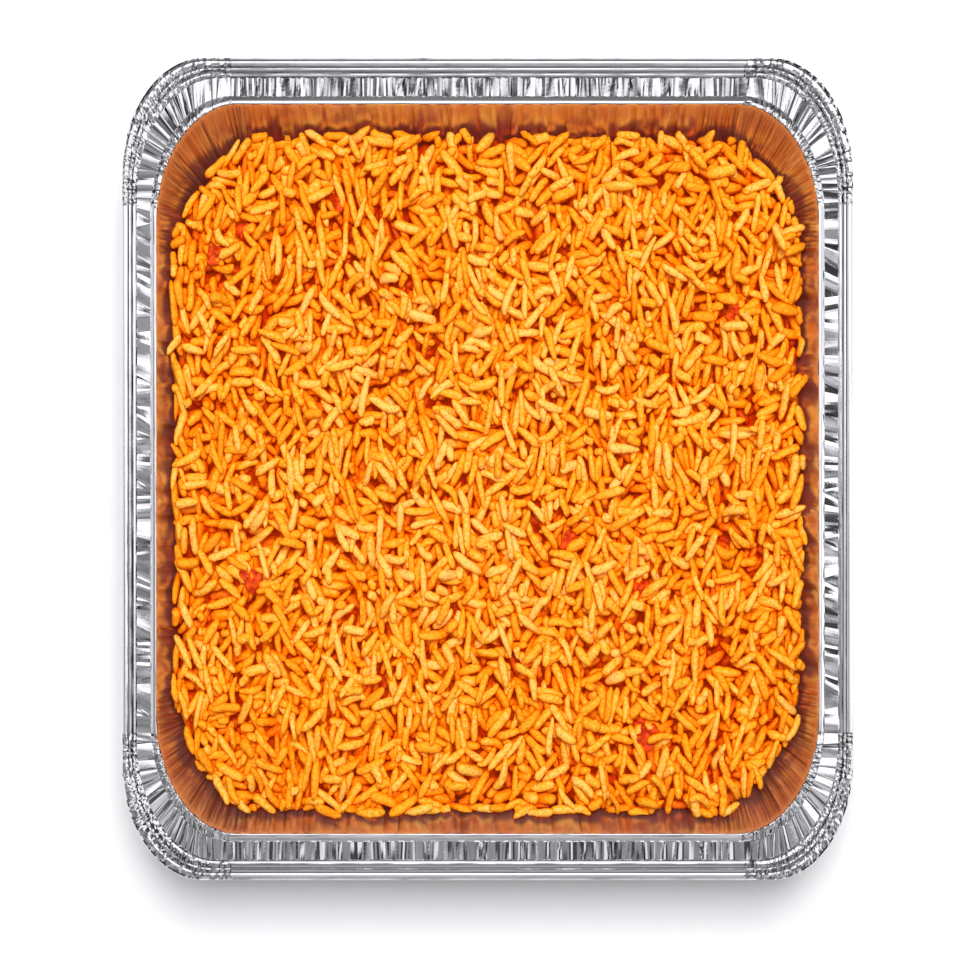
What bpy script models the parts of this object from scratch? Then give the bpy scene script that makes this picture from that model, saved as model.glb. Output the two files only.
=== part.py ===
"""Mexican rice in a pressed foil tray.

Two pieces, in metres, +Z up: the thin tray with its rolled rim, and the rice that fills it to
just below that rim. The tray stands on its flat floor. The origin is at the bottom, under the
middle of the rim. +X is to the right and +Y to the back, as seen from above.
"""

import math
import random

import bmesh
import bpy
import numpy as np
from mathutils import Matrix, Vector

MM = 0.001

# Tray
TRAY_WIDTH = 264.0 * MM  # over the rim, along X
TRAY_DEPTH = 296.6 * MM  # over the rim, along Y
TRAY_HEIGHT = 56.0 * MM
FOIL = 0.45 * MM  # thickness of the wall, with the crimps pressed flat
CORNER_X = 29.5 * MM  # the corners are quarter ellipses
CORNER_Y = 43.0 * MM
END_RATIO = 1.33  # rim width and wall lean at the front and back, against those at the sides
WALL_LEAN = 0.325  # how far a side wall leans out for each metre of its height
FLOOR_BEND = 5.5 * MM  # where the wall turns into the floor

# The rim, from its outer edge inwards: distance from that edge, and depth below the rim's top
RIM_PROFILE = (
    (1.8 * MM, 2.6 * MM),  # raw edge, rolled under
    (0.5 * MM, 2.2 * MM),
    (0.0 * MM, 1.3 * MM),
    (0.5 * MM, 0.4 * MM),
    (1.6 * MM, 0.0 * MM),  # top of the rolled edge
    (2.8 * MM, 0.9 * MM),
    (4.2 * MM, 0.3 * MM),  # second bead
    (5.7 * MM, 1.5 * MM),
    (10.4 * MM, 1.7 * MM),  # flat band of the rim
    (11.4 * MM, 1.0 * MM),  # bead at the mouth
    (12.7 * MM, 1.7 * MM),
)

# Rice
GAP = 0.3 * MM  # between the rice and the foil
RICE_TOP = 45.0 * MM  # height of the rice at the side walls
RICE_CROWN = 2.2 * MM  # how much higher it is in the middle
BACK_DROP = 4.5 * MM  # how much lower it is along the back wall
SWELL = 1.0 * MM  # height of the slow, wide unevenness
GRAIN_LENGTH = 10.8 * MM
GRAIN_WIDTH = 3.2 * MM
CELL = 4.8 * MM  # spacing of the surface's points
PROUD_GRAINS = 60  # single grains that lie on top
GRAIN_SINK = 0.5 * MM  # how deep the middle line of such a grain lies

# Bits of cooked tomato that show between the grains: x, y, length, width
TOMATO_BITS = (
    (-98.0 * MM, 78.0 * MM, 11.0 * MM, 7.5 * MM),
    (-89.0 * MM, 86.5 * MM, 9.0 * MM, 6.5 * MM),
    (-54.0 * MM, 97.5 * MM, 8.5 * MM, 6.5 * MM),
    (58.0 * MM, -97.0 * MM, 14.0 * MM, 10.0 * MM),
    (30.0 * MM, -26.0 * MM, 8.0 * MM, 6.5 * MM),
    (91.0 * MM, 57.0 * MM, 8.5 * MM, 6.5 * MM),
    (-86.0 * MM, -40.0 * MM, 12.0 * MM, 9.0 * MM),
    (55.5 * MM, -44.0 * MM, 8.0 * MM, 6.0 * MM),
)
TOMATO_HEIGHT = 5.0 * MM

# Fineness
CORNER_STEPS = 11
SIDE_STEPS = 5
GRAIN_SIDES = 5
GRAIN_RINGS = 4
SEED = 11


def clear_scene():
    """Start from an empty scene."""
    for obj in list(bpy.data.objects):
        bpy.data.objects.remove(obj, do_unlink=True)


def make_collection(name):
    """A new collection in the scene."""
    collection = bpy.data.collections.new(name)
    bpy.context.scene.collection.children.link(collection)
    return collection


def make_material(name, color, roughness, metallic):
    """A Principled material of one colour."""
    material = bpy.data.materials.new(name)
    material.use_nodes = True
    shader = material.node_tree.nodes["Principled BSDF"]
    shader.inputs["Base Color"].default_value = (*color, 1.0)
    shader.inputs["Roughness"].default_value = roughness
    shader.inputs["Metallic"].default_value = metallic
    return material


def object_from_bmesh(name, bm, collection):
    """Turn a bmesh into an object of the collection."""
    mesh = bpy.data.meshes.new(name)
    bm.to_mesh(mesh)
    bm.free()
    obj = bpy.data.objects.new(name, mesh)
    collection.objects.link(obj)
    return obj


def apply_boolean(obj, operation, solver, other=None, others=None):
    """Apply a Boolean of one object, or of a collection, to obj."""
    modifier = obj.modifiers.new(operation.lower(), "BOOLEAN")
    modifier.operation = operation
    modifier.solver = solver
    if others:
        modifier.operand_type = "COLLECTION"
        modifier.collection = others
    else:
        modifier.object = other
    depsgraph = bpy.context.evaluated_depsgraph_get()
    mesh = bpy.data.meshes.new_from_object(obj.evaluated_get(depsgraph))
    obj.modifiers.remove(modifier)
    obj.data = mesh


# ---------------------------------------------------------------- outline and lofts


def ring(inset, height):
    """Points round the tray at one inset from its outer edge, anticlockwise from above."""
    half_x = TRAY_WIDTH / 2 - inset
    half_y = TRAY_DEPTH / 2 - inset * END_RATIO
    points = []
    for corner in range(4):
        side_x = 1 if corner in (0, 3) else -1
        side_y = 1 if corner in (0, 1) else -1
        center = Vector((side_x * (half_x - CORNER_X), side_y * (half_y - CORNER_Y), height))
        for step in range(CORNER_STEPS + 1):
            angle = math.pi / 2 * (corner + step / CORNER_STEPS)
            points.append(center + Vector((CORNER_X * math.cos(angle), CORNER_Y * math.sin(angle), 0)))
    count = CORNER_STEPS + 1
    outline = []
    for corner in range(4):
        outline += points[corner * count:(corner + 1) * count]
        start = points[(corner + 1) * count - 1]
        end = points[(corner + 1) * count % len(points)]
        outline += [start.lerp(end, step / SIDE_STEPS) for step in range(1, SIDE_STEPS)]
    return outline


def loft(rings, cap_first, cap_last):
    """Skin a row of rings of equal count; the faces look out, or up where the rings narrow."""
    bm = bmesh.new()
    loops = [[bm.verts.new(point) for point in points] for points in rings]
    for near, far in zip(loops, loops[1:]):
        for i in range(len(near)):
            after = (i + 1) % len(near)
            bm.faces.new((near[i], near[after], far[after], far[i]))
    if cap_first:
        bm.faces.new(list(reversed(loops[0])))
    if cap_last:
        bm.faces.new(loops[-1])
    return bm


def bend(start, corner, end, steps):
    """Points of a smooth bend from start to end, whose tangents meet at the corner."""
    points = []
    for step in range(steps + 1):
        t = step / steps
        points.append(start.lerp(corner, t).lerp(corner.lerp(end, t), t))
    return points


def wall_foot(shift):
    """Inset and height down the lower wall and its bend, moved into the tray by shift."""
    mouth_inset, mouth_depth = RIM_PROFILE[-1]
    mouth = Vector((mouth_inset, TRAY_HEIGHT - mouth_depth))
    corner = Vector((mouth.x + WALL_LEAN * (mouth.y - FOIL), FOIL))
    upward = (mouth - corner).normalized()
    points = bend(corner + upward * FLOOR_BEND, corner, corner + Vector((FLOOR_BEND, 0)), 3)
    return [mouth + Vector((shift, shift))] + [point + Vector((shift, shift)) for point in points]


# ---------------------------------------------------------------- tray


def build_tray(collection, material):
    """The foil tray: one sheet from its rolled edge to its floor, given its thickness."""
    rim = [Vector((inset, TRAY_HEIGHT - depth)) for inset, depth in RIM_PROFILE[:-1]]
    profile = rim + wall_foot(0.0)
    bm = loft([ring(inset, height) for inset, height in profile], cap_first=False, cap_last=True)
    tray = object_from_bmesh("foil_tray", bm, collection)
    tray.data.materials.append(material)
    thickness = tray.modifiers.new("foil", "SOLIDIFY")
    thickness.thickness = FOIL
    thickness.offset = -1.0
    thickness.use_even_offset = True
    tray.data.shade_smooth()
    tray.data.set_sharp_from_angle(angle=math.radians(40))
    return tray


# ---------------------------------------------------------------- rice


def random_grains(count, rng):
    """Middles, directions and base heights of grains lying at all angles, over the whole rice."""
    half_x = TRAY_WIDTH / 2
    half_y = TRAY_DEPTH / 2
    middles = rng.uniform((-half_x, -half_y), (half_x, half_y), (count, 2))
    angles = rng.uniform(0, math.pi, count)
    directions = np.stack((np.cos(angles), np.sin(angles)), axis=1)
    lifts = rng.uniform(0, GRAIN_WIDTH * 0.6, count)
    return middles, directions, lifts


def relief(x, y, grains):
    """Height of the topmost grain over a point, from the level that the grains lie on."""
    middles, directions, lifts = grains
    offset = np.array((x, y)) - middles
    along = np.sum(offset * directions, axis=1)
    reach = GRAIN_LENGTH / 2 - GRAIN_WIDTH / 2
    nearest = np.clip(along, -reach, reach)[:, None] * directions
    distance = np.linalg.norm(offset - nearest, axis=1)
    radius = GRAIN_WIDTH / 2
    over = distance < radius
    if not over.any():
        return 0.0
    return float(np.max(lifts[over] + np.sqrt(radius ** 2 - distance[over] ** 2)))


def level(x, y):
    """Height of the rice without its grains: crowned, wavy and lower along the back wall."""
    u = x / (TRAY_WIDTH / 2)
    v = y / (TRAY_DEPTH / 2)
    crown = RICE_CROWN * (1 - u * u) * (1 - v * v)
    drop = BACK_DROP * max(0.0, (v - 0.45) / 0.4) ** 2
    waves = math.sin(7.1 * u + 2.3 * v + 0.6) + math.sin(5.3 * v - 3.7 * u + 2.0)
    return RICE_TOP + crown - drop + SWELL * waves / 2


def build_rice_bed(collection, rng):
    """The body of the rice: a bumpy slab cut to the inside of the tray."""
    cells_x = round(TRAY_WIDTH / CELL)
    cells_y = round(TRAY_DEPTH / CELL)
    bm = bmesh.new()
    bmesh.ops.create_grid(bm, x_segments=cells_x, y_segments=cells_y, size=0.5)
    bmesh.ops.scale(bm, vec=(TRAY_WIDTH, TRAY_DEPTH, 1.0), verts=bm.verts)
    count = round(1.25 * TRAY_WIDTH * TRAY_DEPTH / (GRAIN_LENGTH * GRAIN_WIDTH))
    grains = random_grains(count, rng)
    for vert in bm.verts:
        x, y, _ = vert.co
        vert.co.z = level(x, y) + relief(x, y, grains) - GRAIN_WIDTH / 2
    below = bmesh.ops.extrude_face_region(bm, geom=bm.faces[:])
    for vert in (item for item in below["geom"] if isinstance(item, bmesh.types.BMVert)):
        vert.co.z = -TRAY_HEIGHT
    bmesh.ops.recalc_face_normals(bm, faces=bm.faces)
    bed = object_from_bmesh("rice", bm, collection)

    rings = [ring(inset, height) for inset, height in reversed(wall_foot(GAP))]
    inside = object_from_bmesh("inside", loft(rings, cap_first=True, cap_last=True), collection)
    apply_boolean(bed, "INTERSECT", "EXACT", other=inside)
    bpy.data.objects.remove(inside, do_unlink=True)
    return bed


def fits(x, y, length, taken):
    """True where a piece of this length stays clear of the wall and of the pieces before it."""
    margin = length / 2 + 4 * MM
    mouth_inset, _ = RIM_PROFILE[-1]
    inset = mouth_inset + WALL_LEAN * (TRAY_HEIGHT - RICE_TOP + BACK_DROP) + margin
    half_x = TRAY_WIDTH / 2 - inset
    half_y = TRAY_DEPTH / 2 - inset * END_RATIO
    if abs(x) > half_x or abs(y) > half_y:
        return False
    corner_x = max(0.0, (abs(x) - half_x + CORNER_X) / CORNER_X)
    corner_y = max(0.0, (abs(y) - half_y + CORNER_Y) / CORNER_Y)
    if math.hypot(corner_x, corner_y) > 1:
        return False
    return all(math.hypot(x - a, y - b) > (length + size) / 2 for a, b, size in taken)


def add_grain(collection, x, y, length, draw):
    """One grain with few sides, lying on the rice and partly sunk in it."""
    bm = bmesh.new()
    bmesh.ops.create_uvsphere(bm, u_segments=GRAIN_SIDES, v_segments=GRAIN_RINGS, radius=0.5)
    bmesh.ops.scale(bm, vec=(GRAIN_WIDTH, GRAIN_WIDTH, length), verts=bm.verts)
    tilt = math.pi / 2 + draw.uniform(-0.12, 0.12)
    turn = draw.uniform(0, 2 * math.pi)
    height = level(x, y) + GRAIN_WIDTH / 2 - GRAIN_SINK
    place = Matrix.Translation((x, y, height)) @ Matrix.Rotation(turn, 4, "Z") @ Matrix.Rotation(tilt, 4, "Y")
    bmesh.ops.transform(bm, matrix=place, verts=bm.verts)
    object_from_bmesh("grain", bm, collection)


def add_tomato(collection, x, y, length, width, draw):
    """One soft lump of tomato, half sunk in the rice."""
    bm = bmesh.new()
    bmesh.ops.create_icosphere(bm, subdivisions=1, radius=0.5)
    bmesh.ops.scale(bm, vec=(length, width, TOMATO_HEIGHT), verts=bm.verts)
    place = Matrix.Translation((x, y, level(x, y))) @ Matrix.Rotation(draw.uniform(0, math.pi), 4, "Z")
    bmesh.ops.transform(bm, matrix=place, verts=bm.verts)
    object_from_bmesh("tomato", bm, collection)


def keep_outer_shell(obj):
    """Keep the largest connected shell: small sealed hollows are filled, loose scraps dropped."""
    bm = bmesh.new()
    bm.from_mesh(obj.data)
    waiting = set(bm.faces)
    shells = []
    while waiting:
        shell = []
        front = [waiting.pop()]
        while front:
            face = front.pop()
            shell.append(face)
            near = {other for edge in face.edges for other in edge.link_faces} & waiting
            waiting -= near
            front += near
        shells.append(shell)
    shells.sort(key=len)
    for shell in shells[:-1]:
        bmesh.ops.delete(bm, geom=shell, context="FACES")
    bm.to_mesh(obj.data)
    bm.free()


def build_rice(collection, material):
    """The rice in one piece: its bed with the tomato and the topmost grains fused on."""
    rice = build_rice_bed(collection, np.random.default_rng(SEED))
    draw = random.Random(SEED)
    on_top = make_collection("on_top")
    taken = []
    for x, y, length, width in TOMATO_BITS:
        add_tomato(on_top, x, y, length, width, draw)
        taken.append((x, y, length))
    while len(taken) < PROUD_GRAINS + len(TOMATO_BITS):
        x = draw.uniform(-0.5, 0.5) * TRAY_WIDTH
        y = draw.uniform(-0.5, 0.5) * TRAY_DEPTH
        length = GRAIN_LENGTH * draw.uniform(0.85, 1.15)
        if fits(x, y, length, taken):
            add_grain(on_top, x, y, length, draw)
            taken.append((x, y, length))
    apply_boolean(rice, "UNION", "MANIFOLD", others=on_top)
    for piece in list(on_top.objects):
        bpy.data.objects.remove(piece, do_unlink=True)
    bpy.data.collections.remove(on_top)
    keep_outer_shell(rice)
    rice.data.materials.clear()
    rice.data.materials.append(material)
    return rice


def main():
    clear_scene()
    collection = make_collection("mexican_rice_tray")
    foil = make_material("foil", (0.78, 0.78, 0.80), 0.22, 1.0)
    rice = make_material("rice", (0.86, 0.27, 0.02), 0.45, 0.0)
    build_tray(collection, foil)
    build_rice(collection, rice)


main()
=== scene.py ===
"""Mexican rice in a pressed foil tray: the finished looks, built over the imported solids.

The tray becomes a thin pleated shell of bright foil. The rice becomes a bed with grains stamped into
it, thousands of loose grains that came to rest on it one by one, and bits of cooked tomato.
"""

import math
from typing import NamedTuple

import bmesh
import bpy
import numpy as np
from bpy.props import FloatProperty, FloatVectorProperty, IntProperty, PointerProperty
from mathutils import Matrix, Vector


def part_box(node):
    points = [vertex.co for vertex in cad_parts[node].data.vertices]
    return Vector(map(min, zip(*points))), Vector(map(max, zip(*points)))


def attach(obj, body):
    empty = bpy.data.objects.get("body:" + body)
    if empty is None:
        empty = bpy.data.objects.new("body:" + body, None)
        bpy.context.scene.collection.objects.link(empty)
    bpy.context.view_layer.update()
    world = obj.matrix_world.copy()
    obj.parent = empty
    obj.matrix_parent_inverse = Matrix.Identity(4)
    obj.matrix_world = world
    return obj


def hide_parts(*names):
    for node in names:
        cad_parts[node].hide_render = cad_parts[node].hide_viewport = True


bl_info = {
    "name": "Rice Tray",
    "version": (1, 0, 0),
    "blender": (4, 5, 0),
    "location": "3D View > Sidebar > Rice Tray",
    "description": "Dresses a tray of rice with pleated foil, loose grains and bits of tomato",
    "category": "Add Mesh",
}

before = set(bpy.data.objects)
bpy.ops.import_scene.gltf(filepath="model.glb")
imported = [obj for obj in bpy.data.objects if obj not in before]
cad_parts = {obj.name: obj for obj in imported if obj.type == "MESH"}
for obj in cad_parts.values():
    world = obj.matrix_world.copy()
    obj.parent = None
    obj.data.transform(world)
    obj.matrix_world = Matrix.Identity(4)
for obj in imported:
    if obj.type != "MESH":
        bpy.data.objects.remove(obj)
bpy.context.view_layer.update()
TRAY_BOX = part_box("foil_tray")
BODY = "root"
MM = 0.001

TRAY_WIDTH = TRAY_BOX[1][0] - TRAY_BOX[0][0]
TRAY_DEPTH = TRAY_BOX[1][1] - TRAY_BOX[0][1]
TRAY_HEIGHT = TRAY_BOX[1][2] - TRAY_BOX[0][2]

# The tray's plan and section, as in the solids
CORNER_X = 29.5 * MM  # the corners are quarter ellipses
CORNER_Y = 43.0 * MM
END_RATIO = 1.33  # rim width and wall lean at the front and back, against those at the sides
WALL_LEAN = 0.325
FLOOR_BEND = 5.5 * MM
SOLID_FOIL = 0.45 * MM  # wall of the solid that the shell stands for

# Section of the rim from its outer edge inwards: each point's inset, and depth below the rim's top, in mm
OUTER = (
    (1.7, 2.6), (0.8, 2.6), (0.15, 2.1), (0.0, 1.4), (0.15, 0.75), (0.55, 0.27), (1.1, 0.05), (1.6, 0.0),
    (2.0, 0.12), (2.4, 0.38),  # rolled edge
    (2.75, 0.7),  # groove
    (2.95, 0.6), (3.25, 0.62), (3.6, 0.85), (3.95, 1.2), (4.3, 1.45), (4.6, 1.48), (5.0, 1.6),  # bead
    (5.4, 1.9),  # step
)
BAND = ((5.52, 1.86), (6.9, 1.757), (8.0, 1.674), (9.1, 1.592), (10.33, 1.5))
INNER = (
    (10.45, 1.7),  # crease
    (10.8, 1.56), (11.45, 1.29), (11.75, 1.22), (12.25, 1.18), (12.45, 1.24), (12.6, 1.42), (12.7, 1.8),
)
MOUTH_INSET = INNER[-1][0] * MM
MOUTH_DEPTH = INNER[-1][1] * MM

# Rows of the walls and of the bend under them: the part of the way down, and the pleats' strength there
WALL_ROWS = ((0.0, 0.0), (0.008, 0.25), (0.05, 0.8), (0.1, 1.0), (0.3, 1.0), (0.65, 1.0), (1.0, 0.8))
BEND_ROWS = ((0.35, 0.5), (0.7, 0.2), (1.0, 0.0))
WALL_FLOOR = 0.35 * SOLID_FOIL
WALL_DIFFUSE = 0.09  # part of the walls' light that fine creases scatter

FOLDED = (0.15, 0.35)  # widths of a pleat pressed over its neighbour, against the pitch
OPEN = (0.6, 1.6)  # the same for other pleats
STAND_SPREAD = (0.25, 1.35)  # least and most height of a pleat, against the mean
BULGE_SPREAD = (-0.4, 1.0)  # the same for the bulge between two creases
PINCHED = 0.15  # least width to which a pleat narrows, against its width at the outer edge
EDGE_CRUMPLE = 0.45  # depth of the creases on the rim's outer edge, against the others
RIPPLES = (2.3, 5.1, 11.0)  # lengths in mm of the slow waves along the straight beads
RIPPLE_HEIGHT = 0.003 * MM
CREASE_SHADE = (0.2, 1.0)  # least and most painted shade at a crease
CREASE_SHADE_FADING = 1.5  # how steeply it fades away from the crease
WALL_SHADE_GROWTH = 1.3  # how steeply the painted shade grows down the wall, towards the rice


def linear(hex_color):
    """The linear RGBA of an sRGB colour such as #F08A1E."""
    channels = []
    for start in (1, 3, 5):
        value = int(hex_color[start:start + 2], 16) / 255
        channels.append(value / 12.92 if value <= 0.04045 else ((value + 0.055) / 1.055) ** 2.4)
    return (*channels, 1.0)


def millimetres(name, description, value):
    """A length in millimetres that a user can change."""
    return FloatProperty(name=name, description=description, default=value * MM, unit="LENGTH", precision=5)


def number(name, description, value):
    """A plain number that a user can change."""
    return FloatProperty(name=name, description=description, default=value)


def colour(name, description, value):
    """A colour that a user can change."""
    look = {"default": linear(value), "size": 4, "min": 0.0, "max": 1.0, "subtype": "COLOR"}
    return FloatVectorProperty(name=name, description=description, **look)


class RICETRAY_TrayProperties(bpy.types.PropertyGroup):
    """Sizes and colours of the foil."""

    sheet: millimetres("Sheet", "Thickness of the foil", 0.14)
    end_pitch: millimetres("End Pleats", "Spacing of the creases at the front and back", 1.9)
    side_pitch: millimetres("Side Pleats", "Spacing of the creases at the sides", 4.4)
    corner_pitch: millimetres("Corner Pleats", "Spacing of the creases round the corners", 2.3)
    stand: millimetres("Pleats", "How high the pleats stand on the flat band", 0.6)
    wall_end_pitch: millimetres("Wall End Pleats", "Spacing down the front and back walls", 3.2)
    wall_side_pitch: millimetres("Wall Side Pleats", "Spacing down the side walls", 4.5)
    wall_corner_pitch: millimetres("Wall Corner Pleats", "Spacing down the corners", 1.0)
    wall_stand: millimetres("Wall Pleats", "How high the pleats stand on the walls", 0.55)
    # Painted shade on the walls: how much darker they are painted down towards the rice and over what part
    # of the wall, and how much in the creases of the lobes and of the corners.
    painted_wall_shade: number("Film", "Browned oil on the walls next to the rice", 0.3)
    shade_reach: number("Film Reach", "Part of the wall over which it grows", 0.2)
    lobe_shade: number("Lobe Marks", "Oil in the lobes of the walls", 0.6)
    corner_fold_shade: number("Corner Marks", "Oil in their corners' folds", 0.62)
    crumple: millimetres("Crumple", "Depth of the fine creases where the beads round a corner", 0.2)
    crumple_reach: millimetres("Crumple Reach", "How far these run on past the corner", 10)
    wall_roughness: number("Wall Roughness", "Of the walls", 0.3)
    metal: colour("Metal", "Bare rolled aluminium", "#EDEDEF")
    # The darker colour towards which the painted shade on the walls mixes the metal.
    painted_shade: colour("Oil", "Metal under browned tomato oil", "#B07A3C")
    roughness: number("Roughness", "Roughness of the rim", 0.09)
    seed: IntProperty(name="Seed", description="Which creases", default=5)


class RICETRAY_RiceProperties(bpy.types.PropertyGroup):
    """Sizes and colours of the rice."""

    grain_length: millimetres("Grain Length", "Mean length of a cooked grain", 12.0)
    grain_width: millimetres("Grain Width", "Mean thickness of a cooked grain", 3.45)
    stretch_x: number("Stretch X", "Length of grains lying left to right", 0.85)
    stretch_y: number("Stretch Y", "Length of grains lying front to back", 1.175)
    level: millimetres("Level", "Height of the rice at the side walls", 45)
    crown: millimetres("Crown", "How much higher it is in the middle", 2.2)
    back_drop: millimetres("Back Drop", "How much lower it is along the back wall", 4.5)
    back_ledge: millimetres("Back Ledge", "How much lower it is again next to the back wall", 5)
    corner_drop: millimetres("Corner Drop", "How much lower it is in the corners", 9)
    rounder: number("Rounder", "How far the heap cuts the tray's corners", 0.03)
    lumps: millimetres("Lumps", "How far clumps of grains stand out of the heap", 2.2)
    lump_size: millimetres("Lump Size", "Width of such a clump", 10)
    swell: millimetres("Swell", "Height of the slow, wide unevenness", 1.0)
    buried: millimetres("Buried Layer", "Thickness of the stamped grains of the bed", 2.5)
    loose: millimetres("Loose Layer", "Thickness of the loose grains on the bed", 8.5)
    last: millimetres("Last Layer", "Thickness of the grains that fall after the tomato", 1.6)
    proud: millimetres("Proud", "How far the heap ends over its mean level, on average", -0.5)
    # These paint the grains darker and redder: painted shade on their undersides, painted shade deep in the
    # heap where there is also sauce, and darker towards the heap's edge.
    underside_shade: number("Underside", "Sauce taken up by a grain's underside", 0.62)
    depth_shade: number("Depths", "Sauce taken up deep in the heap", 0.9)
    edges: number("Edges", "Sauce taken up along the heap's edge", 0.13)
    spread: number("Spread", "How unlike each other the grains are", 0.3)
    gap: millimetres("Gap", "Room between the rice and the foil", 0.9)
    # Depth over which the painted shade, partly sauce, grows to its full.
    sauce_and_shade_depth: millimetres("Sauce Depth", "Depth below the grains' tops where all is sauce", 7)
    # From Cream to Sauce the colours run from a crown's painted highlight through golden flanks to orange
    # undersides and red depths in painted shade, partly sauce.
    cream: colour("Cream", "Crown of a grain that took up little sauce", "#FCC562")
    pale: colour("Pale", "Pale yellow shoulders", "#FBAC24")
    golden: colour("Golden", "Golden flanks", "#F88F05")
    orange: colour("Orange", "Undersides and grains that took up much sauce", "#F27002")
    sauce_and_shade: colour("Sauce", "Tomato sauce between the grains", "#BC2600")
    glow: colour("Glow", "Light that comes through the grains", "#FF5400")
    glow_strength: number("Glow Strength", "How much of it", 0.08)
    tomato: colour("Tomato", "Cooked tomato flesh", "#F0520E")
    # The darker colour is painted shade in the dents of the flesh.
    tomato_dent_shade: colour("Tomato Fold", "Its darker folds and the skin on it", "#B02200")
    herb: colour("Herb", "Tiny specks of herb and spice", "#90680A")
    seed: IntProperty(name="Seed", description="Which heap", default=3)


class RICETRAY_StageProperties(bpy.types.PropertyGroup):
    """Camera, lights and floor."""

    camera_rise: millimetres("Camera Rise", "Height of the camera over the rim", 900)
    view_width: millimetres("View Width", "Width of the picture at the rim", 345.76)
    shift_x: millimetres("Camera X", "Camera's place along X", -2.7)
    shift_y: millimetres("Camera Y", "Camera's place along Y", -4.0)
    key: number("Key", "Power of the large soft light, in watts", 60.0)
    fill: number("Fill", "Power of the wide overhead light, in watts", 6.0)
    room: number("Room", "Brightness of the room round the lights", 0.3)


# ---------------- small tools


def add_node(tree, kind, inputs=None, **settings):
    """Add a shader node with its settings; an input is a value or the socket that feeds it."""
    node = tree.nodes.new("ShaderNode" + kind)
    for name, value in settings.items():
        setattr(node, name, value)
    for name, value in (inputs or {}).items():
        if isinstance(value, bpy.types.NodeSocket):
            tree.links.new(value, node.inputs[name])
        else:
            node.inputs[name].default_value = value
    return node


def new_material(name):
    """An empty node material, its tree, and the place on the object that its patterns follow."""
    material = bpy.data.materials.new(name)
    material.use_nodes = True
    tree = material.node_tree
    tree.nodes.clear()
    return material, tree, add_node(tree, "TexCoord").outputs["Object"]


def finish_material(material, inputs, pattern, strength, depth):
    """Give the material its shader, and dent its surface by a pattern."""
    tree = material.node_tree
    dents = {"Height": pattern, "Strength": strength, "Distance": depth}
    normal = add_node(tree, "Bump", dents).outputs["Normal"]
    shader = add_node(tree, "BsdfPrincipled", {**inputs, "Normal": normal})
    add_node(tree, "OutputMaterial", {"Surface": shader.outputs["BSDF"]})
    return material


def link_object(name, mesh, material):
    """An object at the origin that shows the mesh."""
    piece = bpy.data.objects.new(name, mesh)
    bpy.context.scene.collection.objects.link(piece)
    mesh.materials.append(material)
    return piece


def mesh_from_bmesh(name, bm):
    """Turn a bmesh into a mesh."""
    mesh = bpy.data.meshes.new(name)
    bm.to_mesh(mesh)
    bm.free()
    return mesh


def store_attribute(mesh, name, values):
    """Keep one number a vertex, which a material reads by name."""
    attribute = mesh.attributes.new(name, "FLOAT", "POINT")
    attribute.data.foreach_set("value", np.asarray(values, dtype=np.float32))


# ---------------- plan of the tray


def half_sizes(inset):
    """Half the width and half the depth of the plan at an inset from the outer edge."""
    return TRAY_WIDTH / 2 - inset, TRAY_DEPTH / 2 - inset * END_RATIO


def wall_inset(height):
    """Inset of the wall's inner face at a height."""
    return MOUTH_INSET + WALL_LEAN * (TRAY_HEIGHT - MOUTH_DEPTH - height)


def inside(x, y, height, clearance, rounder=0.0):
    """True where a point at this height is clear of the wall, or of one with rounder corners."""
    half_x, half_y = half_sizes(wall_inset(height))
    radius_x = CORNER_X * (1 + rounder)
    radius_y = CORNER_Y * (1 + rounder)
    over_x = np.abs(x) - (half_x - radius_x)
    over_y = np.abs(y) - (half_y - radius_y)
    flat = (over_x < radius_x - clearance) & (over_y < radius_y - clearance)
    round_x = np.maximum(over_x, 0) / (radius_x - clearance)
    round_y = np.maximum(over_y, 0) / (radius_y - clearance)
    return flat & (round_x ** 2 + round_y ** 2 < 1)


# Kinds of place round the tray. Three numbers for the pleats are in this order.
CORNER, END, SIDE = range(3)


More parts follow.
